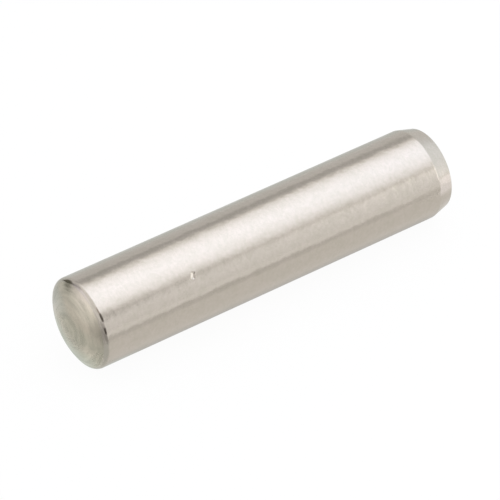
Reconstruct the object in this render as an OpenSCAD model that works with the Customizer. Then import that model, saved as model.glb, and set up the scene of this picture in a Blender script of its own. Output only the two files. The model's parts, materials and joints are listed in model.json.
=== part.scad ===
// Parallel dowel pin of hardened steel, 6 mm in diameter and 28 mm long.
// Its shank is ground to size for a press fit. The lead-in end has a slow taper
// that starts the pin in its hole, and both ends are crowned, so that the pin
// can be driven without swelling at its edges.
//
// Millimetres. The axis is X, and the origin is the middle of the ground shank.
// The lead-in end points to +X and the turned end to -X.

/* [Shank] */
// Ground diameter
pin_d = 6; // [3:0.1:10]
// Length over both crowns
overall_len = 28; // [12:0.5:60]

/* [Lead-in end] */
// Length of the taper along the axis
lead_len = 1.1; // [0.3:0.1:4]
// Angle between the taper and the axis
lead_angle = 15; // [3:1:45]
// Radius of the crown beyond the taper
lead_crown_r = 6; // [3:0.5:30]

/* [Turned end] */
// Radius of the crown that the lathe turned
turned_crown_r = 5.5; // [3.5:0.5:30]
// Radius that blends the crown into the shank
edge_r = 0.3; // [0.05:0.05:1.5]

/* [Hidden] */
$fn = 144;

pin_r = pin_d / 2;

// The taper ends at this radius, where the lead-in crown takes over.
lead_tip_r = pin_r - lead_len * tan(lead_angle);
// How far each crown's centre lies back from the ring where the crown begins
lead_crown_back = sqrt(pow(lead_crown_r, 2) - pow(lead_tip_r, 2));
lead_end_len = lead_len + lead_crown_r - lead_crown_back;

// The blend's arc touches the shank on one side and the crown on the other, so
// its centre is edge_r inside both. That places the crown's centre in the shank.
blend_centre_r = pin_r - edge_r;
turned_crown_back = sqrt(pow(turned_crown_r - edge_r, 2) - pow(blend_centre_r, 2));
turned_end_len = turned_crown_r - turned_crown_back;

// What the two ends leave is the ground cylinder.
shank_len = overall_len - lead_end_len - turned_end_len;

// Half of the lead-in end, with its base on y = 0: a taper cut off by a crown
module lead_in_half() {
    intersection() {
        polygon([
            [0, 0],
            [pin_r, 0],
            [lead_tip_r, lead_len],
            [lead_tip_r, lead_len + lead_crown_r],
            [0, lead_len + lead_crown_r]
        ]);
        translate([0, lead_len - lead_crown_back])
            circle(r = lead_crown_r);
    }
}

// Half of the turned end, with its base on y = 0: a slice of the crown's disc,
// and the blend's disc at the outer edge of that slice
module turned_half() {
    // The line from the crown's centre through the blend's meets both arcs where they touch.
    touch_r = blend_centre_r * turned_crown_r / (turned_crown_r - edge_r);
    touch_y = turned_crown_back * (1 - turned_crown_r / (turned_crown_r - edge_r));
    intersection() {
        translate([0, turned_crown_back])
            circle(r = turned_crown_r);
        polygon([
            [0, turned_crown_back],
            [touch_r, touch_y],
            [touch_r, -turned_crown_r],
            [0, -turned_crown_r]
        ]);
    }
    translate([blend_centre_r, 0])
        circle(r = edge_r);
}

// Half section of the whole pin: x is the radius, and y runs along the axis
module half_section() {
    translate([0, -shank_len / 2])
        square([pin_r, shank_len]);
    translate([0, shank_len / 2])
        lead_in_half();
    translate([0, -shank_len / 2])
        turned_half();
}

module dowel_pin() {
    color("#c8c3ba")
        rotate([0, 90, 0])
            rotate_extrude()
                half_section();
}

dowel_pin();
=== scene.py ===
# %% [markdown]
# # A dowel pin, turned, hardened and ground
#
# A dowel pin is a plain steel cylinder that holds two parts in line. It is turned from bar, hardened,
# and ground to its exact diameter. Almost all that the eye sees of it is reflections, so this lesson
# spends its effort on three things: a true outline, the marks that the tools left, and a studio for
# the metal to mirror.
#
# The pin comes from a CAD model, which gives its real size and place. Everything below is in metres,
# in that model's frame: X runs along the pin, and the middle of the ground shank is the origin.

# %% Load the CAD frame
import json
import math
from collections import Counter

import bpy
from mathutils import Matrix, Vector
from mathutils.bvhtree import BVHTree


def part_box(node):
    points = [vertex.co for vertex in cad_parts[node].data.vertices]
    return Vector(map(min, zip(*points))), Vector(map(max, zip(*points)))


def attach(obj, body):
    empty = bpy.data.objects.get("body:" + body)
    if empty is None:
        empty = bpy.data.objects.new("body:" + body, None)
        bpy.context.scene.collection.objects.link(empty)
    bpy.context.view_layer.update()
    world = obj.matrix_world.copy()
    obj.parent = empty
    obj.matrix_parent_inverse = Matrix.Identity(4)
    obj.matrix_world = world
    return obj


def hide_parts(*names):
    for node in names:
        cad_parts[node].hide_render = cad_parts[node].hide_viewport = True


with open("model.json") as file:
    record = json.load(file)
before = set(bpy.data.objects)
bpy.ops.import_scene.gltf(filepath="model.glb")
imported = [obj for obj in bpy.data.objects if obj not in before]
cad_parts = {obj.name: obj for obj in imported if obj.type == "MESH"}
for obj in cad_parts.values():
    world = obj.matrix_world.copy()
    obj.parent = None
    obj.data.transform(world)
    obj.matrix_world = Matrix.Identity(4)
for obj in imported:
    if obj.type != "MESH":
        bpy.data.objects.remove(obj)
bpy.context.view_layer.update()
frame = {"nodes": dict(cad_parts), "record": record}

MM = 0.001

cad_low, cad_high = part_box("dowel_pin")
shank = next(mount for mount in frame["record"]["mounts"] if mount["name"] == "shank")
pin_r = shank["dims"]["r_mm"] * MM
print(f"pin: {(cad_high.x - cad_low.x) / MM:.2f} mm long and {2 * pin_r / MM:.2f} mm in diameter")

# %% [markdown]
# ## A few helpers
#
# Materials, the room and Geometry Nodes are all node trees, so one small function can build any of
# them: it adds a node, sets its properties, and fills each input with a value or a link. An input is
# named by its label, or by its number where a node has several with one label. A Mix node, for
# example, takes its share at 0 and its two colours at 6 and 7, and gives the mixed colour at 2.
#
# Colours are written in hex, as a paint chart gives them. Blender works in linear light, so one
# function turns the one into the other.

# %% Helpers for nodes, colours and curves


def add_node(tree, kind, settings=None, inputs=None):
    """Adds a node. An input is a value, a socket to link, or a node whose first output is linked."""
    node = tree.nodes.new(kind)
    for name, value in (settings or {}).items():
        setattr(node, name, value)
    for name, value in (inputs or {}).items():
        if isinstance(value, bpy.types.Node):
            value = value.outputs[0]
        if isinstance(value, bpy.types.NodeSocket):
            tree.links.new(value, node.inputs[name])
        else:
            node.inputs[name].default_value = value
    return node


def empty_tree(owner):
    """Gives a material or a world an empty node tree, and returns that tree."""
    owner.use_nodes = True
    owner.node_tree.nodes.clear()
    return owner.node_tree


def linear(hex_colour):
    """The linear colour of an sRGB hex value such as "#c8c3ba"."""
    channels = [int(hex_colour[i : i + 2], 16) / 255 for i in (1, 3, 5)]
    return tuple(c / 12.92 if c <= 0.04045 else ((c + 0.055) / 1.055) ** 2.4 for c in channels) + (1,)


def draw_through(mapping, points):
    """Draws the curve of a curve mapping through points, whose axes both run from 0 to 1."""
    curve = mapping.curves[0]
    curve.points[0].location = points[0]
    curve.points[1].location = points[-1]
    for point in points[1:-1]:
        curve.points.new(*point)
    mapping.update()


print("a mid grey, #808080, is", round(linear("#808080")[0], 3), "in linear light")

# %% [markdown]
# ## The camera
#
# A small object is best seen from far away through a long lens. Its far end then looks hardly smaller
# than its near end, and its sides stay nearly parallel. The camera could be moved by hand until the
# view looks right. Here it is placed by two angles and a distance from the point that it aims at,
# as one walks round a table to look at something, and each of the three is easy to change alone.

# %% Place the camera
CAMERA_LENS = 288  # mm
SENSOR_WIDTH = 36  # mm
CAMERA_TURN = math.radians(-35.74)
CAMERA_RISE = math.radians(38.70)
CAMERA_REACH = 247.8 * MM
CAMERA_AIM = Vector((-0.204, -0.205, 0)) * MM

camera_data = bpy.data.cameras.new("camera")
camera_data.lens = CAMERA_LENS
camera_data.sensor_width = SENSOR_WIDTH
camera_data.clip_start = 10 * MM
camera_data.clip_end = 10
camera = bpy.data.objects.new("camera", camera_data)

level_reach = math.cos(CAMERA_RISE)
to_camera = Vector((
    math.sin(CAMERA_TURN) * level_reach,
    -math.cos(CAMERA_TURN) * level_reach,
    math.sin(CAMERA_RISE),
))
camera.location = CAMERA_AIM + to_camera * CAMERA_REACH
camera.rotation_euler = to_camera.to_track_quat("Z", "Y").to_euler()
bpy.context.scene.collection.objects.link(camera)
bpy.context.scene.camera = camera
print(f"camera: {camera.location.length / MM:.0f} mm from the middle of the shank")

# %% [markdown]
# ## The outline
#
# The pin is a turned part, so half of its section says everything about its shape. From left to right
# it has a crown, a rounded edge that runs smoothly into the ground shank, a short taper that leads the
# pin into its hole, and a second crown. The taper meets its neighbours at corners, which deburring has
# eased a little: a corner with no rounding at all has no highlight, and never looks real.
#
# The section is drawn as a row of points in the XZ plane, X along the pin and Z out from its axis. It
# could be modelled by hand, but arcs and lines from named sizes are exact, and stay easy to change.
# Each point also says whether the lathe's marks are left there, or were ground and polished away.

# %% Draw the turned crown
CROWN_RADIUS = 5.5 * MM
EDGE_RADIUS = 0.38 * MM  # tumbling has left it a little rounder than the CAD's 0.3 mm
FEED = 0.2 * MM  # how far the tool moved along at each turn of the bar
POINTS_A_MARK = 6  # each of its marks is this many points wide

section = []


def add_point(x, out, turned):
    """Adds a point to the section. turned is 1 where the lathe's marks are left."""
    section.append((x, out, turned))


edge_centre_out = pin_r - EDGE_RADIUS
crown_centre_x = cad_low.x + CROWN_RADIUS
touch_angle = math.asin(edge_centre_out / (CROWN_RADIUS - EDGE_RADIUS))
touch_out = CROWN_RADIUS * math.sin(touch_angle)

crown_points = int(touch_out / (FEED / POINTS_A_MARK))
for k in range(crown_points + 1):
    out = k * FEED / POINTS_A_MARK
    add_point(crown_centre_x - math.sqrt(CROWN_RADIUS**2 - out**2), out, 1)
print(f"crown: {crown_points} points, until it touches the rounded edge {touch_out / MM:.3f} mm out")

# %% Draw the rounded edge, which runs into the shank without a corner
EDGE_STEPS = 16

shank_start = crown_centre_x - (CROWN_RADIUS - EDGE_RADIUS) * math.cos(touch_angle)
for k in range(EDGE_STEPS + 1):
    angle = touch_angle + (math.pi / 2 - touch_angle) * k / EDGE_STEPS
    edge_x = shank_start - EDGE_RADIUS * math.cos(angle)
    edge_out = edge_centre_out + EDGE_RADIUS * math.sin(angle)
    add_point(edge_x, edge_out, 0)
print(f"rounded edge: from {section[-EDGE_STEPS - 1][0] / MM:.3f} to {shank_start / MM:.3f} mm")

# %% Draw the shank, with points close together where it will have a nick
TAPER_LENGTH = 1.1 * MM
TAPER_ANGLE = math.radians(15)
TIP_CROWN_RADIUS = 6.0 * MM
NICK_X = -5.91 * MM
NICK_ZONE = 0.3 * MM
NICK_SPACING = 0.02 * MM
SHANK_SPACING = 1.6 * MM
HOLD = 0.03 * MM  # a ring this close to a rounding keeps its shading off the straight part
HOLD_BEFORE_TAPER = 3 * HOLD

tip_out = pin_r - TAPER_LENGTH * math.tan(TAPER_ANGLE)
tip_crown_centre_x = cad_high.x - TIP_CROWN_RADIUS
tip_x = tip_crown_centre_x + math.sqrt(TIP_CROWN_RADIUS**2 - tip_out**2)
shank_end = tip_x - TAPER_LENGTH


def add_straight(start, stop, spacing):
    """Adds evenly spaced points to the shank, from start up to stop."""
    steps = max(1, round((stop - start) / spacing))
    for k in range(steps):
        add_point(start + (stop - start) * k / steps, pin_r, 0)


add_straight(shank_start + HOLD, NICK_X - NICK_ZONE, SHANK_SPACING)
add_straight(NICK_X - NICK_ZONE, NICK_X + NICK_ZONE, NICK_SPACING)
add_straight(NICK_X + NICK_ZONE, shank_end - HOLD_BEFORE_TAPER, SHANK_SPACING)
add_point(shank_end - HOLD_BEFORE_TAPER, pin_r, 0)
print(f"shank: {(shank_end - shank_start) / MM:.2f} mm long, {len(section)} points so far")

# %% Draw the taper between its two eased corners
CORNER_STEPS = 6
CORNER_REACH = 0.05 * MM
TIP_CORNER_REACH = 0.05 * MM
CORNER_ROOM = 1.6  # the straight parts' points start this many reaches from a corner
TAPER_STEPS = 24
TAPER_RINGS = 4  # the wheel leaves a few faint rings on the taper
RING_DEPTH = 0.0016 * MM


def add_corner(x, out, slope_in, slope_out, reach):
    """Eases a corner with a curve that leaves one line and joins the next, both at this reach."""
    corner = Vector((x, out))
    start = corner + reach * Vector((-math.cos(slope_in), math.sin(slope_in)))
    stop = corner + reach * Vector((math.cos(slope_out), -math.sin(slope_out)))
    for k in range(CORNER_STEPS + 1):
        t = k / CORNER_STEPS
        point = start * (1 - t) ** 2 + corner * 2 * t * (1 - t) + stop * t**2
        add_point(point.x, point.y, 0)


add_corner(shank_end, pin_r, 0, TAPER_ANGLE, CORNER_REACH)
taper_from = CORNER_ROOM * CORNER_REACH
taper_to = TAPER_LENGTH - CORNER_ROOM * TIP_CORNER_REACH
for k in range(TAPER_STEPS + 1):
    share = k / TAPER_STEPS
    past_corner = taper_from + (taper_to - taper_from) * share
    ring = RING_DEPTH * abs(math.sin(math.pi * TAPER_RINGS * share))
    add_point(shank_end + past_corner, pin_r - past_corner * math.tan(TAPER_ANGLE) - ring, 0)
tip_slope = math.pi / 2 - math.asin(tip_out / TIP_CROWN_RADIUS)
add_corner(tip_x, tip_out, TAPER_ANGLE, tip_slope, TIP_CORNER_REACH)
print(f"taper: from {shank_end / MM:.3f} to {tip_x / MM:.3f} mm, down to {tip_out / MM:.3f} mm out")

# %% Draw the second crown, from its rim in to the axis
tip_points = int((tip_out - CORNER_ROOM * TIP_CORNER_REACH) / (FEED / POINTS_A_MARK))
for k in range(tip_points, -1, -1):
    out = k * FEED / POINTS_A_MARK
    add_point(tip_crown_centre_x + math.sqrt(TIP_CROWN_RADIUS**2 - out**2), out, 1)
print(f"section: {len(section)} points, from {section[0][0] / MM:.3f} to {section[-1][0] / MM:.3f} mm")

# %% Keep the section as a mesh that Geometry Nodes can read
section_mesh = bpy.data.meshes.new("section")
places = [(x, 0, out) for x, out, turned in section]
joins = [(k, k + 1) for k in range(len(section) - 1)]
section_mesh.from_pydata(places, joins, [])
turned_marks = section_mesh.attributes.new("turned", "FLOAT", "POINT")
turned_marks.data.foreach_set("value", [turned for x, out, turned in section])
pin = bpy.data.objects.new("steel_pin", section_mesh)
bpy.context.scene.collection.objects.link(pin)
print(f"turned points: {sum(turned for x, out, turned in section)} of {len(section)}")

# %% [markdown]
# ## Ground steel
#
# The shank and the taper are hardened bearing steel, ground between two wheels and then tumbled. The
# wheels leave lines round the pin that are far finer than a hair. They can't be seen one by one, but
# they stretch every highlight a little along the pin, and tumbling breaks their shine into faint
# patches. A plain metal shader would look like chrome.
#
# The lines could be painted as stripes. Stretched noise is closer, because grinding never repeats:
# it is short along the pin and long round it. Anisotropy does what the lines too fine to draw do,
# and it follows the UV map "lay", whose directions are along and round the pin.

# %% Ground steel: its colours and the sizes of its marks
GROUND_DARK = "#c2bbaf"
GROUND_LIGHT = "#cac1b7"
REAL_LINE_PITCH = 0.005 * MM
LINE_PITCH = 0.14 * MM  # the real lines are too fine to show, so these are as coarse as it takes
LINE_REACH = 2.5 * MM
PATCH_ALONG = 0.22 * MM
PATCH_ROUND = 0.32 * MM
WAVE_SIZE = 1.0 * MM  # the wheels leave the surface this smoothly uneven
LINE_DEPTH = 0.0005 * MM
PATCH_DEPTH = 0.003 * MM
WAVE_DEPTH = 0.028 * MM

ground_steel = bpy.data.materials.new("hardened_steel_centreless_ground")
tree = empty_tree(ground_steel)
coords = add_node(tree, "ShaderNodeTexCoord").outputs["Object"]
print(f"ground steel: its lines are drawn {LINE_PITCH / REAL_LINE_PITCH:.0f} times as far apart as real")

# %% Ground steel: three sizes of noise
noises = {}
for name, size, detail, fineness in (
    ("lines", (LINE_PITCH, LINE_REACH, LINE_REACH), 2.0, 0.6),
    ("patches", (PATCH_ALONG, PATCH_ROUND, PATCH_ROUND), 3.0, 0.85),
    ("waves", (WAVE_SIZE, WAVE_SIZE, WAVE_SIZE), 2.0, 0.5),
):
    scaled = add_node(tree, "ShaderNodeVectorMath", {"operation": "DIVIDE"}, {0: coords, 1: size})
    noises[name] = add_node(
        tree,
        "ShaderNodeTexNoise",
        None,
        {"Vector": scaled, "Scale": 1.0, "Detail": detail, "Roughness": fineness},
    )
print("ground steel:", ", ".join(noises), "made")

# %% Ground steel: a colour that wanders a little from patch to patch
NOISE_LOW = 0.33  # a noise runs from 0 to 1, but hardly ever leaves these two
NOISE_HIGH = 0.67
WAVES_IN_COLOUR = 0.4

uneven = add_node(
    tree,
    "ShaderNodeMath",
    {"operation": "MULTIPLY_ADD"},
    {0: noises["waves"], 1: WAVES_IN_COLOUR, 2: noises["patches"]},
)
lift = WAVES_IN_COLOUR / 2
colour_share = add_node(
    tree,
    "ShaderNodeMapRange",
    None,
    {"Value": uneven, "From Min": NOISE_LOW + lift, "From Max": NOISE_HIGH + lift},
)
ground_colour = add_node(
    tree,
    "ShaderNodeMix",
    {"data_type": "RGBA"},
    {0: colour_share, 6: linear(GROUND_DARK), 7: linear(GROUND_LIGHT)},
)
print(f"ground steel: from {GROUND_DARK} to {GROUND_LIGHT}")

# %% A shader for either steel


def add_steel(tree, colour, roughness, stretch, relief=None):
    """Adds the metal, its highlights stretched along "lay", and the output."""
    lay = add_node(tree, "ShaderNodeTangent", {"direction_type": "UV_MAP", "uv_map": "lay"})
    look = {"Base Color": colour, "Metallic": 1.0, "Roughness": roughness}
    look.update({"Anisotropic": stretch, "Tangent": lay})
    if relief:
        look["Normal"] = relief
    shader = add_node(tree, "ShaderNodeBsdfPrincipled", None, look)
    add_node(tree, "ShaderNodeOutputMaterial", None, {"Surface": shader})


print("steel: bare metal, which colours what it reflects")

# %% Ground steel: relief and roughness
LINES_LOW = 0.3
LINES_HIGH = 0.7
GROUND_SMOOTHEST = 0.15
GROUND_ROUGHEST = 0.21
GROUND_STRETCH = 0.6

relief = None
for name, depth in (("waves", WAVE_DEPTH), ("patches", PATCH_DEPTH), ("lines", LINE_DEPTH)):
    bump = {"Height": noises[name], "Distance": depth, "Strength": 1.0}
    if relief:
        bump["Normal"] = relief
    relief = add_node(tree, "ShaderNodeBump", None, bump)

rough = {"From Min": LINES_LOW, "From Max": LINES_HIGH}
rough.update({"To Min": GROUND_SMOOTHEST, "To Max": GROUND_ROUGHEST})
roughness = add_node(tree, "ShaderNodeMapRange", None, {"Value": noises["lines"], **rough})
add_steel(tree, ground_colour.outputs[2], roughness, GROUND_STRETCH, relief)
print(f"ground steel: {len(tree.nodes)} nodes")

# %% [markdown]
# ## Turned steel
#
# The crowns were only turned. Heat has left them a little darker and browner than the shank, and the
# tool's marks run round the middle in rings that are never quite complete, because a worn edge cuts
# a little more here and a little less there.
#
# A wood-ring texture would draw rings that are all alike. Here the distance from the axis drives the
# fourth dimension of a noise, and the place drives the other three, slowly. Along a ring only the
# place changes, so the ring fades in and out. From ring to ring the noise changes at once.

# %% Turned steel: its colours and the sizes of its rings
TURNED_DARK = "#bab4a5"
TURNED_LIGHT = "#d1c8b8"
RING_WIDTH = 0.5 * MM
RING_WANDER = 2.5 * MM  # how far round a ring the same cut goes on
STAIN_SIZE = 0.7 * MM
RINGS_IN_COLOUR = 0.75

turned_steel = bpy.data.materials.new("hardened_steel_turned")
tree = empty_tree(turned_steel)
coords = add_node(tree, "ShaderNodeTexCoord").outputs["Object"]
print(f"turned steel: from {TURNED_DARK} to {TURNED_LIGHT}, rings {RING_WIDTH / MM} mm wide")

# %% Turned steel: rings that fade in and out
flat = {0: coords, 1: (0.0, 1.0, 1.0)}
across = add_node(tree, "ShaderNodeVectorMath", {"operation": "MULTIPLY"}, flat)
from_axis = add_node(tree, "ShaderNodeVectorMath", {"operation": "LENGTH"}, {0: across}).outputs["Value"]
ring_number = add_node(tree, "ShaderNodeMath", {"operation": "DIVIDE"}, {0: from_axis, 1: RING_WIDTH})
wander = (RING_WANDER, RING_WANDER, RING_WANDER)
slow_place = add_node(tree, "ShaderNodeVectorMath", {"operation": "DIVIDE"}, {0: coords, 1: wander})
rings = add_node(
    tree,
    "ShaderNodeTexNoise",
    {"noise_dimensions": "4D"},
    {"Vector": slow_place, "W": ring_number, "Scale": 1.0, "Detail": 2.5, "Roughness": 0.7},
)
print(f"turned steel: {touch_out / RING_WIDTH:.0f} rings from the axis to the rounded edge")

# %% Turned steel: faint stains from the heat, under the rings
CUT_LOW = 0.4
CUT_HIGH = 0.6

stain = (STAIN_SIZE, STAIN_SIZE, STAIN_SIZE)
stain_place = add_node(tree, "ShaderNodeVectorMath", {"operation": "DIVIDE"}, {0: coords, 1: stain})
stains = add_node(
    tree,
    "ShaderNodeTexNoise",
    None,
    {"Vector": stain_place, "Scale": 1.0, "Detail": 3.0, "Roughness": 0.6},
)
stain_part = {0: stains, 1: 1 - RINGS_IN_COLOUR}
weak_stains = add_node(tree, "ShaderNodeMath", {"operation": "MULTIPLY"}, stain_part)
both_parts = {0: rings, 1: RINGS_IN_COLOUR, 2: weak_stains}
cut = add_node(tree, "ShaderNodeMath", {"operation": "MULTIPLY_ADD"}, both_parts)
cut_range = {"Value": cut, "From Min": CUT_LOW, "From Max": CUT_HIGH}
cut_share = add_node(tree, "ShaderNodeMapRange", None, cut_range)
turned_colour = add_node(
    tree,
    "ShaderNodeMix",
    {"data_type": "RGBA"},
    {0: cut_share, 6: linear(TURNED_DARK), 7: linear(TURNED_LIGHT)},
)
print(f"turned steel: {RINGS_IN_COLOUR:.0%} of its colour comes from the rings")

# %% Turned steel: duller where it is darker
TURNED_SMOOTHEST = 0.2
TURNED_ROUGHEST = 0.3
TURNED_STRETCH = 0.3

rough = {"From Min": NOISE_LOW, "From Max": NOISE_HIGH}
rough.update({"To Min": TURNED_ROUGHEST, "To Max": TURNED_SMOOTHEST})
roughness = add_node(tree, "ShaderNodeMapRange", None, {"Value": cut, **rough})
add_steel(tree, turned_colour.outputs[2], roughness, TURNED_STRETCH)
print(f"turned steel: {len(tree.nodes)} nodes")

# %% [markdown]
# ## The lathe, built of nodes
#
# The pin's shape follows a rule: its section goes round the axis. A Screw modifier could do that, but
# not cut the tool's marks and the nick on the way. Geometry Nodes can, and each size stays an input
# that can be changed by hand.
#
# The tree works as the machine does. It cuts the marks into the section, and wraps a grid of points
# round the axis, one row of the grid for each point of the section. The steps round it are crowded
# together at the nick, where the mesh has to be fine, and spread out behind it.

# %% Name the lathe's inputs
CROWDING = 0.8  # 0 spreads the steps evenly, and 1 would stack them at the nick

lathe = bpy.data.node_groups.new("Turn the pin", "GeometryNodeTree")
lathe_inputs = (
    ("Section", "NodeSocketGeometry", None),
    ("Steps round", "NodeSocketInt", 256),
    ("Crowding", "NodeSocketFloat", CROWDING),
    ("Radius", "NodeSocketFloat", pin_r),
    ("Feed", "NodeSocketFloat", FEED),
    ("Mark depth", "NodeSocketFloat", 0.0045 * MM),
    ("Seed", "NodeSocketInt", 7),
    ("Nick along", "NodeSocketFloat", NICK_X),
    ("Nick angle", "NodeSocketFloat", math.radians(48.1)),
    ("Nick slant", "NodeSocketFloat", math.radians(64)),
    ("Nick half length", "NodeSocketFloat", 0.26 * MM),
    ("Nick half width", "NodeSocketFloat", 0.19 * MM),
    ("Nick depth", "NodeSocketFloat", 0.045 * MM),
    ("Ground steel", "NodeSocketMaterial", ground_steel),
    ("Turned steel", "NodeSocketMaterial", turned_steel),
)
input_values = {}
for name, kind, value in lathe_inputs:
    socket = lathe.interface.new_socket(name, in_out="INPUT", socket_type=kind)
    if value is not None:
        input_values[socket.identifier] = value
lathe.interface.new_socket("Pin", in_out="OUTPUT", socket_type="NodeSocketGeometry")
given = add_node(lathe, "NodeGroupInput").outputs
print(f"lathe: {len(input_values)} sizes and materials as inputs")

# %% [markdown]
# ### The tool's marks
#
# A round-nosed tool that moves on by one feed at each turn leaves a row of shallow scallops. Across
# one mark the tool is deepest in the middle: with s the share of the mark from 0 to 1, the scallop is
# 1 - 4 (s - 0.5) squared. Each mark gets a depth of its own, as a real tool chatters, from a random
# value with a fixed seed. Near the middle the bar hardly moves under the tool, which rubs more than
# it cuts, so the marks are weaker there.
#
# All this moves points, so it is real relief. The marks are too shallow to see from the side, but
# each one bends what the crown mirrors.

# %% Number each mark, and shape its scallop
point_place = add_node(lathe, "GeometryNodeInputPosition")
point_xyz = add_node(lathe, "ShaderNodeSeparateXYZ", None, {0: point_place}).outputs
out_and_feed = {0: point_xyz["Z"], 1: given["Feed"]}
feeds_out = add_node(lathe, "ShaderNodeMath", {"operation": "DIVIDE"}, out_and_feed)
mark_number = add_node(lathe, "ShaderNodeMath", {"operation": "FLOOR"}, {0: feeds_out})
mark_share = add_node(lathe, "ShaderNodeMath", {"operation": "FRACT"}, {0: feeds_out})
off_middle = add_node(lathe, "ShaderNodeMath", {"operation": "SUBTRACT"}, {0: mark_share, 1: 0.5})
squared = add_node(lathe, "ShaderNodeMath", {"operation": "MULTIPLY"}, {0: off_middle, 1: off_middle})
scallop = add_node(lathe, "ShaderNodeMath", {"operation": "MULTIPLY_ADD"}, {0: squared, 1: -4.0, 2: 1.0})
print(f"marks: {touch_out / FEED:.0f} on the turned crown, {tip_out / FEED:.0f} on the tip")

# %% Give each mark a depth of its own
CROWNS_APART = 100.0  # keeps the numbers of the two crowns' marks apart
SHALLOWEST = 0.3  # of the full depth
WEAK_UNTIL = 0.3 * MM
FULL_FROM = 1.6 * MM
WEAKEST = 0.3

crown_side = add_node(lathe, "ShaderNodeMath", {"operation": "SIGN"}, {0: point_xyz["X"]})
number_parts = {0: crown_side, 1: CROWNS_APART, 2: mark_number}
mark_id = add_node(lathe, "ShaderNodeMath", {"operation": "MULTIPLY_ADD"}, number_parts)
chance = add_node(
    lathe,
    "FunctionNodeRandomValue",
    {"data_type": "FLOAT"},
    {2: SHALLOWEST, 3: 1.0, "ID": mark_id, "Seed": given["Seed"]},
)
middle_range = {"From Min": WEAK_UNTIL, "From Max": FULL_FROM, "To Min": WEAKEST}
weak_middle = add_node(lathe, "ShaderNodeMapRange", None, {"Value": point_xyz["Z"], **middle_range})
is_turned = add_node(lathe, "GeometryNodeInputNamedAttribute", {"data_type": "FLOAT"}, {"Name": "turned"})
print(f"marks: each is {SHALLOWEST:.0%} to 100% of the full depth")

# %% Cut the marks inwards, which is a different way on each crown
INWARDS = -1.0

mark_depth = given["Mark depth"]
for factor in (scallop, chance.outputs[1], weak_middle, is_turned, crown_side, INWARDS):
    mark_depth = add_node(lathe, "ShaderNodeMath", {"operation": "MULTIPLY"}, {0: mark_depth, 1: factor})
mark_cut = add_node(lathe, "ShaderNodeCombineXYZ", None, {"X": mark_depth})
marked = {"Geometry": given["Section"], "Offset": mark_cut}
marked_section = add_node(lathe, "GeometryNodeSetPosition", None, marked)
print(f"lathe: {len(lathe.nodes)} nodes so far")

# %% Make a grid with one row for each point of the section
section_size = add_node(
    lathe, "GeometryNodeAttributeDomainSize", {"component": "MESH"}, {0: given["Section"]}
)
columns = add_node(lathe, "FunctionNodeIntegerMath", {"operation": "ADD"}, {0: given["Steps round"], 1: 1})
grid = add_node(
    lathe,
    "GeometryNodeMeshGrid",
    None,
    {"Vertices X": section_size.outputs["Point Count"], "Vertices Y": columns},
)
index = add_node(lathe, "GeometryNodeInputIndex")
row = add_node(lathe, "FunctionNodeIntegerMath", {"operation": "DIVIDE_FLOOR"}, {0: index, 1: columns})
column = add_node(lathe, "FunctionNodeIntegerMath", {"operation": "MODULO"}, {0: index, 1: columns})
print(f"grid: {len(section)} rows, one for each point")

# %% Look up each row's place, and whether it is turned
row_place = add_node(
    lathe,
    "GeometryNodeSampleIndex",
    {"data_type": "FLOAT_VECTOR", "domain": "POINT"},
    {"Geometry": marked_section, "Value": point_place, "Index": row},
)
row_turned = add_node(
    lathe,
    "GeometryNodeSampleIndex",
    {"data_type": "FLOAT", "domain": "POINT"},
    {"Geometry": marked_section, "Value": is_turned, "Index": row},
)
print("grid: each row has its place")

# %% Turn each column to its angle, crowded together at the nick
FULL_CIRCLE = 2 * math.pi

round_parts = {0: column, 1: given["Steps round"]}
column_share = add_node(lathe, "ShaderNodeMath", {"operation": "DIVIDE"}, round_parts)
even_parts = {0: column_share, 1: FULL_CIRCLE, 2: -FULL_CIRCLE / 2}
even_turn = add_node(lathe, "ShaderNodeMath", {"operation": "MULTIPLY_ADD"}, even_parts)
sway = add_node(lathe, "ShaderNodeMath", {"operation": "SINE"}, {0: even_turn})
pull = add_node(lathe, "ShaderNodeMath", {"operation": "MULTIPLY"}, {0: sway, 1: given["Crowding"]})
turn = add_node(lathe, "ShaderNodeMath", {"operation": "SUBTRACT"}, {0: even_turn, 1: pull})
print(f"grid: its steps are {1 / (1 - CROWDING):.0f} times finer at the nick")

# %% [markdown]
# ### The nick
#
# Something hard has struck the shank near its turned end, and left a nick half a millimetre long.
# One flank is gentle, the other is steep, and steel that was pushed aside stands up as a low lip
# on the steep side. The gentle flank catches a lamp and the steep one a dark card, so the nick
# shows as a bright and a dark stroke side by side.
#
# A bump map could fake that from one side only. Here the rows and columns are close enough for a
# real dent, so it is cut before the grid is wrapped, while the shank is still flat: its place along
# the pin and round it are turned by the slant, a curve gives the dent's section, and it fades out
# towards both ends.

# %% Find each point's place in the nick
row_xyz = add_node(lathe, "ShaderNodeSeparateXYZ", None, {0: row_place}).outputs
past_nick = {0: row_xyz["X"], 1: given["Nick along"]}
along = add_node(lathe, "ShaderNodeMath", {"operation": "SUBTRACT"}, past_nick)
around = add_node(lathe, "ShaderNodeMath", {"operation": "MULTIPLY"}, {0: turn, 1: given["Radius"]})
flat_place = add_node(lathe, "ShaderNodeCombineXYZ", None, {"X": along, "Y": around})
slanted = add_node(
    lathe,
    "ShaderNodeVectorRotate",
    {"rotation_type": "Z_AXIS"},
    {"Vector": flat_place, "Angle": given["Nick slant"]},
)
nick_xy = add_node(lathe, "ShaderNodeSeparateXYZ", None, {0: slanted}).outputs
print(f"nick: {(NICK_X - shank_start) / MM:.1f} mm from the start of the shank")

# %% Draw the nick's section: a gentle flank, a steep one, and a lip
SURFACE = 0.85  # the height on the curve at which nothing is cut
GENTLE_FLANK = [(0, SURFACE), (0.05, SURFACE), (0.22, 0.60), (0.38, 0.32), (0.56, 0.01)]
STEEP_FLANK = [(0.62, 0.02), (0.71, 0.38), (0.79, 0.74), (0.85, 0.90), (1, SURFACE)]

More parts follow.
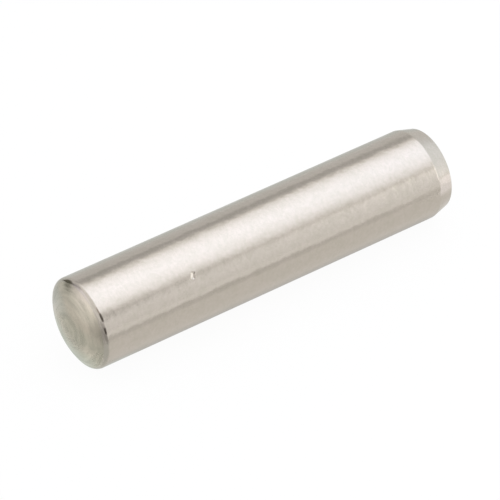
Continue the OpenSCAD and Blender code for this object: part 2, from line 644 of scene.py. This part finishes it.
half_width = given["Nick half width"]
left_edge = add_node(lathe, "ShaderNodeMath", {"operation": "MULTIPLY"}, {0: half_width, 1: -1.0})
nick_range = {"Value": nick_xy["Y"], "From Min": left_edge, "From Max": half_width}
nick_across = add_node(lathe, "ShaderNodeMapRange", None, nick_range)
nick_section = add_node(lathe, "ShaderNodeFloatCurve", None, {"Value": nick_across})
draw_through(nick_section.mapping, GENTLE_FLANK + STEEP_FLANK)
height = add_node(lathe, "ShaderNodeMath", {"operation": "SUBTRACT"}, {0: nick_section, 1: SURFACE})
print(f"nick: its section is drawn through {len(GENTLE_FLANK + STEEP_FLANK)} points")

# %% Fade the nick towards its ends, and cut it
FULL_DEPTH_UNTIL = 0.4  # of its half length

end_parts = {0: nick_xy["X"], 1: given["Nick half length"]}
end_share = add_node(lathe, "ShaderNodeMath", {"operation": "DIVIDE"}, end_parts)
end_distance = add_node(lathe, "ShaderNodeMath", {"operation": "ABSOLUTE"}, {0: end_share})
fade = add_node(
    lathe,
    "ShaderNodeMapRange",
    {"interpolation_type": "SMOOTHSTEP"},
    {"Value": end_distance, "From Min": 1.0, "From Max": FULL_DEPTH_UNTIL},
)
nick_cut = given["Nick depth"]
for factor in (height, fade):
    nick_cut = add_node(lathe, "ShaderNodeMath", {"operation": "MULTIPLY"}, {0: nick_cut, 1: factor})
cut_out = add_node(lathe, "ShaderNodeMath", {"operation": "ADD"}, {0: row_xyz["Z"], 1: nick_cut})
print(f"lathe: {len(lathe.nodes)} nodes so far")

# %% Wrap the grid round the axis, with the nick at its angle, and turn its faces outwards
upright = add_node(lathe, "ShaderNodeCombineXYZ", None, {"X": row_xyz["X"], "Z": cut_out})
full_turn = add_node(lathe, "ShaderNodeMath", {"operation": "ADD"}, {0: turn, 1: given["Nick angle"]})
wrapped_place = add_node(
    lathe,
    "ShaderNodeVectorRotate",
    {"rotation_type": "X_AXIS"},
    {"Vector": upright, "Angle": full_turn},
)
wrapped = add_node(lathe, "GeometryNodeSetPosition", None, {"Geometry": grid, "Position": wrapped_place})
outwards = add_node(lathe, "GeometryNodeFlipFaces", None, {"Mesh": wrapped})
print("grid: wrapped, with its faces outwards")

# %% Keep the grid's own directions as the UV map "lay", and mark the turned rows
laid = add_node(
    lathe,
    "GeometryNodeStoreNamedAttribute",
    {"data_type": "FLOAT2", "domain": "CORNER"},
    {"Geometry": outwards, "Name": "lay", "Value": grid.outputs["UV Map"]},
)
zoned = add_node(
    lathe,
    "GeometryNodeStoreNamedAttribute",
    {"data_type": "FLOAT", "domain": "POINT"},
    {"Geometry": laid, "Name": "turned", "Value": row_turned},
)
print("grid: lay and zones stored")

# %% Close the seam and the poles, and give each zone its steel
CLOSE_UP = 0.00002 * MM
MOSTLY_TURNED = 0.6  # a face on the border is half turned, and is left ground

closed = add_node(lathe, "GeometryNodeMergeByDistance", None, {"Geometry": zoned, "Distance": CLOSE_UP})
smooth = add_node(lathe, "GeometryNodeSetShadeSmooth", None, {"Geometry": closed})
real = add_node(lathe, "GeometryNodeRealizeInstances", None, {"Geometry": smooth})
ground_part = {"Geometry": real, "Material": given["Ground steel"]}
all_ground = add_node(lathe, "GeometryNodeSetMaterial", None, ground_part)
turned_faces = add_node(
    lathe,
    "FunctionNodeCompare",
    {"data_type": "FLOAT", "operation": "GREATER_THAN"},
    {0: is_turned, 1: MOSTLY_TURNED},
)
turned_part = {"Geometry": all_ground, "Selection": turned_faces, "Material": given["Turned steel"]}
crowns_turned = add_node(lathe, "GeometryNodeSetMaterial", None, turned_part)
add_node(lathe, "NodeGroupOutput", None, {"Pin": crowns_turned})
print(f"lathe: {len(lathe.nodes)} nodes")

# %% Run the lathe, and keep what it makes as a plain mesh
modifier = pin.modifiers.new("Turn the pin", "NODES")
modifier.node_group = lathe
for identifier, value in input_values.items():
    modifier[identifier] = value
depsgraph = bpy.context.evaluated_depsgraph_get()
pin_mesh = bpy.data.meshes.new_from_object(pin.evaluated_get(depsgraph), depsgraph=depsgraph)
pin.modifiers.clear()
pin.data = pin_mesh
pin_mesh.name = "steel_pin"
while None in pin_mesh.materials[:]:  # the bare section leaves an empty slot
    pin_mesh.materials.pop(index=pin_mesh.materials[:].index(None))
print("finishes:", [material.name for material in pin_mesh.materials])

# %% [markdown]
# ### Measure before going on
#
# A closed mesh has exactly two faces at each edge. Its volume, added up from the pyramids between the
# origin and each triangle, is positive only if its faces point outwards. The CAD solid says how big
# the pin has to be, so the last line gives the furthest that any point strays from it.

# %% Measure the pin
pin_mesh.calc_loop_triangles()
edge_uses = Counter(key for face in pin_mesh.polygons for key in face.edge_keys)
open_edges = sum(uses != 2 for uses in edge_uses.values())
volume = 0
for triangle in pin_mesh.loop_triangles:
    a, b, c = (pin_mesh.vertices[v].co for v in triangle.vertices)
    volume += a.dot(b.cross(c)) / 6
print(f"pin: {len(pin_mesh.loop_triangles)} triangles, {open_edges} open edges")
print(f"volume: {volume / MM**3:.2f} cubic mm")

cad_surface = BVHTree.FromObject(frame["nodes"]["dowel_pin"], depsgraph)
strays = [cad_surface.find_nearest(vertex.co)[3] for vertex in pin_mesh.vertices]
print(f"furthest from the CAD solid: {max(strays) / MM:.4f} mm, in the nick")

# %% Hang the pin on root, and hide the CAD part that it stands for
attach(pin, "root")
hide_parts("dowel_pin")
print("pin: rides on root, and stands for dowel_pin")

# %% [markdown]
# ## The table
#
# The pin lies on a wide sheet of matt white card. Lit from above, such a card is always a little grey,
# so most of what it sends back is a plain white glow of strength 1, which only the camera and
# reflections see. It lights nothing. The rest is the card's own matt surface, which keeps a whisper
# of the pin's shadow, so that the pin lies on the table and doesn't float.

# %% Lay the table
TABLE_HALF = 1.0
CARD_WHITE = "#f6f6f6"
GLOW_SHARE = 0.95


def add_stage(name, points, faces):
    """Adds a mesh that belongs to the studio and not to the pin."""
    mesh = bpy.data.meshes.new(name)
    mesh.from_pydata(points, [], faces)
    thing = bpy.data.objects.new(name, mesh)
    bpy.context.scene.collection.objects.link(thing)
    return thing


corner_signs = ((-1, -1), (1, -1), (1, 1), (-1, 1))
table_corners = [(i * TABLE_HALF, j * TABLE_HALF, -pin_r) for i, j in corner_signs]
table = add_stage("table", table_corners, [(0, 1, 2, 3)])
print(f"table: its top is {pin_r / MM:.1f} mm below the pin's axis")

# %% Matt white card
card_stock = bpy.data.materials.new("matt_white_card")
tree = empty_tree(card_stock)
rays = add_node(tree, "ShaderNodeLightPath").outputs
seen = rays["Is Camera Ray"]
for kind in ("Is Glossy Ray", "Is Transmission Ray"):
    seen = add_node(tree, "ShaderNodeMath", {"operation": "MAXIMUM"}, {0: seen, 1: rays[kind]})
glow_share = add_node(tree, "ShaderNodeMath", {"operation": "MULTIPLY"}, {0: seen, 1: GLOW_SHARE})
matt = add_node(tree, "ShaderNodeBsdfDiffuse", None, {"Color": linear(CARD_WHITE)})
glow = add_node(tree, "ShaderNodeEmission", None, {"Color": linear("#ffffff"), "Strength": 1.0})
card_mix = add_node(tree, "ShaderNodeMixShader", None, {0: glow_share, 1: matt, 2: glow})
add_node(tree, "ShaderNodeOutputMaterial", None, {"Surface": card_mix})
table.data.materials.append(card_stock)
print(f"table: {GLOW_SHARE:.0%} of what the camera sees of it is glow")

# %% [markdown]
# ## What the metal mirrors
#
# Polished steel has hardly a look of its own: its light and dark are the room's. So a studio stands
# white and dark cards round it, and moves them until each edge of the metal reads well. The table
# is mirrored too, brighter in one place and dimmer in another, as the light falls on it.
#
# Lamps could light the table unevenly, but each would also change everything else. It is simpler to
# lay sheets of light on it, which only reflections see: they cast no shadow, light nothing, and the
# camera looks through them. Each has a brightness, a colour, and edges that fade out softly.

# %% A card that only reflections see
WARM = "#fffefc"


def show_only_in_reflections(thing):
    """Hides a thing from the camera and from matt surfaces, and lets it cast no shadow."""
    thing.visible_camera = False
    thing.visible_diffuse = False
    thing.visible_shadow = False


def add_card(name, corners, level, soft_sides, soft_ends, colour=WARM):
    """Adds a card. corners are in mm, and soft_sides and soft_ends are the shares that fade out."""
    card = add_stage(name, [Vector(corner) * MM for corner in corners], [(0, 1, 2, 3)])
    show_only_in_reflections(card)
    card_uv = card.data.uv_layers.new(name="card")
    for loop, place in zip(card_uv.data, ((0, 0), (1, 0), (1, 1), (0, 1))):
        loop.uv = place

    material = bpy.data.materials.new(name)
    tree = empty_tree(material)
    place = add_node(tree, "ShaderNodeUVMap", {"uv_map": "card"})
    place_xy = add_node(tree, "ShaderNodeSeparateXYZ", None, {0: place}).outputs
    ease = {"interpolation_type": "SMOOTHSTEP"}
    shown = 1.0
    for axis, share in (("X", soft_sides), ("Y", soft_ends)):
        inside = add_node(tree, "ShaderNodeMath", {"operation": "PINGPONG"}, {0: place_xy[axis], 1: 0.5})
        edge_range = {"Value": inside, "From Min": 0.0, "From Max": share}
        edge = add_node(tree, "ShaderNodeMapRange", ease, edge_range)
        shown = add_node(tree, "ShaderNodeMath", {"operation": "MULTIPLY"}, {0: shown, 1: edge})
    clear = add_node(tree, "ShaderNodeBsdfTransparent")
    light = add_node(tree, "ShaderNodeEmission", None, {"Color": linear(colour), "Strength": level})
    mix = add_node(tree, "ShaderNodeMixShader", None, {0: shown, 1: clear, 2: light})
    add_node(tree, "ShaderNodeOutputMaterial", None, {"Surface": mix})
    card.data.materials.append(material)


print(f"cards: {WARM} unless they say otherwise")

# %% Sheets of painted light and shade on the table, each a hair above the one before
LIFT = 0.002  # mm


def oblong(left, right, front, back):
    """The corners of an oblong on the table, in mm."""
    return (left, front), (right, front), (right, back), (left, back)


FAR_RIGHT = ((14.5, -8.5), (62, -48), (70, -16), (16.5, -1))
# Each sheet is painted light or painted shade on the table, which only the metal's reflections show. The
# dimmer sheets are painted shade, and the brightest, on the right by the taper, are painted pools of
# light.
SHEETS = (
    ("table_behind", oblong(-60, 120, 6, 260), 0.715, 0.05, 0.03, "#fbfffd"),
    ("table_near", oblong(-19, 22, -15, 11), 0.84, 0.12, 0.1, WARM),
    # the pin's painted shadow under it, as the metal mirrors it
    ("table_painted_shadow_under_pin", oblong(-14, 15, -3.2, 3.2), 0.6, 0.1, 0.25, WARM),
    ("table_left", oblong(-31, -13, -8, 20), 0.745, 0.35, 0.3, "#fffdfb"),
    ("table_by_crown", oblong(-20.5, -14.3, -5, 8), 0.71, 0.25, 0.25, "#fbfffc"),
    ("table_behind_crown", oblong(-21.5, -10.5, 4.5, 13.5), 0.765, 0.3, 0.3, "#f7fdff"),
    ("table_before_crown", oblong(-26, -11.5, -13, -1), 0.65, 0.12, 0.2, "#fbfffc"),
    ("table_at_crown_foot", oblong(-15.1, -9, -2.8, 6), 0.84, 0.25, 0.25, "#f6fffc"),
    ("table_in_front", oblong(-48, 50, -21.5, -8.5), 0.69, 0.5, 0.4, WARM),
    ("table_before_taper", oblong(14, 27, -20, -8.5), 0.8, 0.4, 0.4, WARM),
    ("table_front_left", oblong(-300, -14.5, -400, 3), 0.58, 0.02, 0.02, WARM),
    ("table_far_right", FAR_RIGHT, 1.52, 0.12, 0.25, "#fbfaff"),
    ("table_by_taper", oblong(15.5, 25, -10.5, -4.2), 1.2, 0.35, 0.35, "#fbfaff"),
    ("table_in_shade", oblong(-36, -16.4, -9, -1), 0.42, 0.35, 0.35, WARM),
    # the darkest sheet, far in front on the left: painted shade on the table
    ("table_painted_shade_front_left", oblong(-62, -9.4, -75, -8), 0.38, 0.08, 0.08, WARM),
)
for number, (name, corners, level, soft_sides, soft_ends, colour) in enumerate(SHEETS, 1):
    z = -pin_r / MM + LIFT * number
    add_card(name, [(x, y, z) for x, y in corners], level, soft_sides, soft_ends, colour)
print(f"sheets of light: {len(SHEETS)}, all within {LIFT * len(SHEETS):.2f} mm of the table")

# %% [markdown]
# Six darker things stand on the table. A small card behind the crown puts a dark stroke on its upper
# edge, and a large grey one on the left calms the crown's limb. The camera's grey body, its front,
# hood and stand are what the rounded edge and the steep flank of the nick mirror: without them
# those edges would melt into the white.

# %% Darker cards that stand on the table


def standing(left, right, left_y, right_y, low, high):
    """The corners of an upright card in mm, from its left edge to its right one."""
    return (left, left_y, low), (right, right_y, low), (right, right_y, high), (left, left_y, high)


OLIVE = "#fffee6"
BROWN = "#ffefe2"
DARK_CARDS = (
    ("small_dark_card", standing(-35, -13.5, 23.5, 30.2, -12, 16.3), 0.12, 0.3, 0.3, OLIVE),
    ("grey_card", standing(-190, -150, 20, -75, -35, 50), 0.72, 0.2, 0.27, WARM),
    ("camera_body", standing(-150, 2, -75, -105, -35, 54), 0.5, 0.12, 0.27, WARM),
    ("camera_front", standing(-54, 28, -78, -87, 40, 94), 0.1, 0.1, 0.15, BROWN),
    ("camera_hood", standing(-66, 12, -77, -86, 88, 160), 0.42, 0.12, 0.1, BROWN),
    ("camera_stand", standing(-60, 0, -78, -88, -12, 24), 0.07, 0.1, 0.2, BROWN),
)
for card in DARK_CARDS:
    add_card(*card)
print("dark cards:", ", ".join(card[0] for card in DARK_CARDS))

# %% [markdown]
# ## The softbox
#
# The broad highlight along the shank is the mirror image of a softbox: a lamp behind white cloth,
# brightest and coolest under its tube and dimmer towards its edges. Its cloth hangs down in front,
# and that part gives the calm light on the pin's lower half.
#
# An area light is one even brightness, and makes a highlight with hard edges. So the softbox is a
# mesh with a glowing cloth, and a curve says how bright the cloth is along its length.

# %% Hang the cloth: a flat top and a skirt in front
CLOTH_LEFT = -10 * MM
CLOTH_RIGHT = 125 * MM
CLOTH_FRONT = -152 * MM
CLOTH_BACK = 186 * MM
CLOTH_HEIGHT = 100 * MM
CLOTH_HEM = -pin_r

cloth_points = []
for side_x in (CLOTH_LEFT, CLOTH_RIGHT):
    cloth_points.append((side_x, CLOTH_FRONT, CLOTH_HEM))
    cloth_points.append((side_x, CLOTH_FRONT, CLOTH_HEIGHT))
    cloth_points.append((side_x, CLOTH_BACK, CLOTH_HEIGHT))
softbox = add_stage("softbox", cloth_points, [(0, 3, 4, 1), (1, 4, 5, 2)])
softbox.visible_camera = False
print(f"softbox: {(CLOTH_BACK - CLOTH_FRONT) / MM:.0f} mm deep, {CLOTH_HEIGHT / MM:.0f} mm above the axis")

# %% Measure along the cloth with a UV map, as a tape measure would
TAPE_START = -260
TAPE_STOP = 190  # mm from the axis, with the skirt folded up level with the top

fold = CLOTH_FRONT / MM
tape = (fold - (CLOTH_HEIGHT - CLOTH_HEM) / MM, fold, CLOTH_BACK / MM)


def tape_share(distance):
    """Where a distance on the tape is, from 0 to 1."""
    return (distance - TAPE_START) / (TAPE_STOP - TAPE_START)


cloth_uv = softbox.data.uv_layers.new(name="cloth")
for loop in softbox.data.loops:
    side, mark = divmod(loop.vertex_index, len(tape))
    cloth_uv.data[loop.index].uv = (side, tape_share(tape[mark]))
print(f"tape: hem at {tape[0]:.0f} mm, fold at {tape[1]:.0f} mm, back edge at {tape[2]:.0f} mm")

# %% Say how bright the cloth is along its length
CURVE_TOP = 2.0  # a Float Curve ends at 1, so a brightness is divided by this first
SKIRT = [(-260, 0.95), (-178, 1.025), (-162, 1.01)]
FRONT_EDGE = [(-146, 0.93), (-128, 0.86), (-110, 1.03), (-92, 1.23)]
UNDER_THE_TUBE = [(-71, 1.48), (-30, 1.82), (-5, 1.93), (21, 1.82), (60, 1.405)]
BACK_EDGE = [(86, 0.95), (110, 0.63), (190, 0.54)]

cloth = bpy.data.materials.new("softbox_cloth")
tree = empty_tree(cloth)
on_tape = add_node(tree, "ShaderNodeUVMap", {"uv_map": "cloth"})
tape_place = add_node(tree, "ShaderNodeSeparateXYZ", None, {0: on_tape}).outputs["Y"]
glow_curve = add_node(tree, "ShaderNodeFloatCurve", None, {"Value": tape_place})
cloth_levels = SKIRT + FRONT_EDGE + UNDER_THE_TUBE + BACK_EDGE
draw_through(glow_curve.mapping, [(tape_share(mm), level / CURVE_TOP) for mm, level in cloth_levels])
cloth_level = add_node(tree, "ShaderNodeMath", {"operation": "MULTIPLY"}, {0: glow_curve, 1: CURVE_TOP})
print(f"cloth: from {min(v for mm, v in cloth_levels)} to {max(v for mm, v in cloth_levels)}")

# %% In front, the cloth is a little brighter on the right
LEAN = 0.07
LEAN_LEFT = 50 * MM
LEAN_RIGHT = 100 * MM
LEAN_STARTS = -65 * MM
LEAN_FULL = -105 * MM

place = add_node(tree, "ShaderNodeTexCoord").outputs["Object"]
place_xyz = add_node(tree, "ShaderNodeSeparateXYZ", None, {0: place}).outputs
right_range = {"From Min": LEAN_LEFT, "From Max": LEAN_RIGHT, "To Min": -LEAN, "To Max": LEAN}
to_right = add_node(tree, "ShaderNodeMapRange", None, {"Value": place_xyz["X"], **right_range})
front_range = {"Value": place_xyz["Y"], "From Min": LEAN_STARTS, "From Max": LEAN_FULL}
in_front = add_node(tree, "ShaderNodeMapRange", {"interpolation_type": "SMOOTHSTEP"}, front_range)
lean = add_node(tree, "ShaderNodeMath", {"operation": "MULTIPLY_ADD"}, {0: to_right, 1: in_front, 2: 1.0})
cloth_level = add_node(tree, "ShaderNodeMath", {"operation": "MULTIPLY"}, {0: cloth_level, 1: lean})
print(f"cloth: {LEAN:.0%} brighter on the right, and as much dimmer on the left")

# %% The brighter it is, the cooler its white, and most of all on the right
TUBE_WHITE = "#f1f5ff"
TUBE_WHITE_RIGHT = "#edf2ff"
TUBE_LEVEL = 1.93
COOL_FROM = 0.9
RIGHT_STARTS = 48 * MM
RIGHT_FULL = 76 * MM

cool_range = {"Value": cloth_level, "From Min": COOL_FROM, "From Max": TUBE_LEVEL}
coolness = add_node(tree, "ShaderNodeMapRange", None, cool_range)
far_right_range = {"Value": place_xyz["X"], "From Min": RIGHT_STARTS, "From Max": RIGHT_FULL}
far_right = add_node(tree, "ShaderNodeMapRange", None, far_right_range)
tube_whites = {0: far_right, 6: linear(TUBE_WHITE), 7: linear(TUBE_WHITE_RIGHT)}
tube_white = add_node(tree, "ShaderNodeMix", {"data_type": "RGBA"}, tube_whites).outputs[2]
whites = {0: coolness, 6: linear("#ffffff"), 7: tube_white}
cloth_colour = add_node(tree, "ShaderNodeMix", {"data_type": "RGBA"}, whites)
cloth_light = {"Color": cloth_colour.outputs[2], "Strength": cloth_level}
cloth_glow = add_node(tree, "ShaderNodeEmission", None, cloth_light)
add_node(tree, "ShaderNodeOutputMaterial", None, {"Surface": cloth_glow})
softbox.data.materials.append(cloth)
print(f"cloth: {TUBE_WHITE} under the tube, and {TUBE_WHITE_RIGHT} at its right end")

# %% [markdown]
# ## The room
#
# Beyond the table are pale walls, brighter on the right, with one narrow lamp that the nick catches
# and a gap that the crown mirrors. A picture of a room would do this at once, but a room of a few
# named levels can be understood and changed. A wall's bearing is its angle round Z from the X axis.
#
# The walls are painted on one round screen, which only reflections see, as they see the cards. It
# fades out upwards, and what lies past it is plain white light from all sides.

# %% Stand a round screen on the table
SCREEN_RADIUS = 600 * MM
SCREEN_SIDES = 96
CEILING_STARTS = 0.6  # how steeply up the screen begins to fade, as the sine of the angle
CEILING_FULL = 0.85

screen_top = SCREEN_RADIUS * math.tan(math.asin(CEILING_FULL))
screen_points = []
screen_faces = []
for k in range(SCREEN_SIDES):
    side_bearing = FULL_CIRCLE * k / SCREEN_SIDES
    side_x = SCREEN_RADIUS * math.cos(side_bearing)
    side_y = SCREEN_RADIUS * math.sin(side_bearing)
    screen_points.append((side_x, side_y, -pin_r))
    screen_points.append((side_x, side_y, screen_top))
    following = (k + 1) % SCREEN_SIDES
    screen_faces.append((2 * k, 2 * following, 2 * following + 1, 2 * k + 1))
screen = add_stage("screen", screen_points, screen_faces)
show_only_in_reflections(screen)
print(f"screen: {SCREEN_RADIUS / MM:.0f} mm away and {screen_top / MM:.0f} mm high")

# %% Say how bright each wall is, by its bearing in degrees
FRONT_WALLS = [(-180, 1.05), (-140, 0.9), (-110, 0.9), (-76, 1.0), (-54, 1.1)]
LAMP = [(-48, 2.0), (-41, 2.0), (-34, 1.29)]
RIGHT_WALLS = [(0, 1.21), (32, 0.9), (70, 0.71), (116, 0.67)]
GAP = [(124, 0.52)]
LEFT_WALLS = [(140, 0.89), (161, 1.17), (180, 1.05)]

painted_walls = bpy.data.materials.new("painted_walls")
tree = empty_tree(painted_walls)
place = add_node(tree, "ShaderNodeTexCoord").outputs["Object"]
way = add_node(tree, "ShaderNodeVectorMath", {"operation": "NORMALIZE"}, {0: place})
way_xyz = add_node(tree, "ShaderNodeSeparateXYZ", None, {0: way}).outputs
bearing = add_node(tree, "ShaderNodeMath", {"operation": "ARCTAN2"}, {0: way_xyz["Y"], 1: way_xyz["X"]})
round_range = {"Value": bearing, "From Min": -math.pi, "From Max": math.pi}
round_share = add_node(tree, "ShaderNodeMapRange", None, round_range)
wall_curve = add_node(tree, "ShaderNodeFloatCurve", None, {"Value": round_share})
wall_levels = FRONT_WALLS + LAMP + RIGHT_WALLS + GAP + LEFT_WALLS
draw_through(wall_curve.mapping, [((deg + 180) / 360, level / CURVE_TOP) for deg, level in wall_levels])
walls = add_node(tree, "ShaderNodeMath", {"operation": "MULTIPLY"}, {0: wall_curve, 1: CURVE_TOP})
print(f"room: {len(wall_levels)} wall levels")

# %% Daylight falls on two of the walls, and makes them cooler
DAYLIGHT = (
    ((-52, -15, 15, 50), "#f3f9ff"),
    ((100, 130, 155, 175), "#fbf9ff"),
)

ease = {"interpolation_type": "SMOOTHSTEP"}
wall_colour = linear("#ffffff")
for bearings, colour in DAYLIGHT:
    begins, full, fades, ends = (math.radians(degrees) for degrees in bearings)
    rising_range = {"Value": bearing, "From Min": begins, "From Max": full}
    rising = add_node(tree, "ShaderNodeMapRange", ease, rising_range)
    falling_range = {"Value": bearing, "From Min": ends, "From Max": fades}
    falling = add_node(tree, "ShaderNodeMapRange", ease, falling_range)
    lit = add_node(tree, "ShaderNodeMath", {"operation": "MULTIPLY"}, {0: rising, 1: falling})
    cooled = {0: lit, 6: wall_colour, 7: linear(colour)}
    wall_colour = add_node(tree, "ShaderNodeMix", {"data_type": "RGBA"}, cooled).outputs[2]
print(f"room: {len(DAYLIGHT)} patches of daylight")

# %% Fade the walls out overhead, and fill the world with white light
overhead_range = {"Value": way_xyz["Z"], "From Min": CEILING_STARTS, "From Max": CEILING_FULL}
overhead = add_node(tree, "ShaderNodeMapRange", ease, overhead_range)
paint = add_node(tree, "ShaderNodeEmission", None, {"Color": wall_colour, "Strength": walls})
clear = add_node(tree, "ShaderNodeBsdfTransparent")
faded = add_node(tree, "ShaderNodeMixShader", None, {0: overhead, 1: paint, 2: clear})
add_node(tree, "ShaderNodeOutputMaterial", None, {"Surface": faded})
screen.data.materials.append(painted_walls)

room = bpy.data.worlds.new("room")
bpy.context.scene.world = room
tree = empty_tree(room)
white_light = {"Color": linear("#ffffff"), "Strength": 1.0}
sky = add_node(tree, "ShaderNodeBackground", None, white_light)
add_node(tree, "ShaderNodeOutputWorld", None, {"Surface": sky})
print(f"ceiling: from {math.degrees(math.asin(CEILING_FULL)):.0f} degrees up")

# %% [markdown]
# ## Finish
#
# The Standard view shows each colour as it is written.

# %% Show each colour as it is written, and finish
bpy.context.scene.view_settings.view_transform = "Standard"
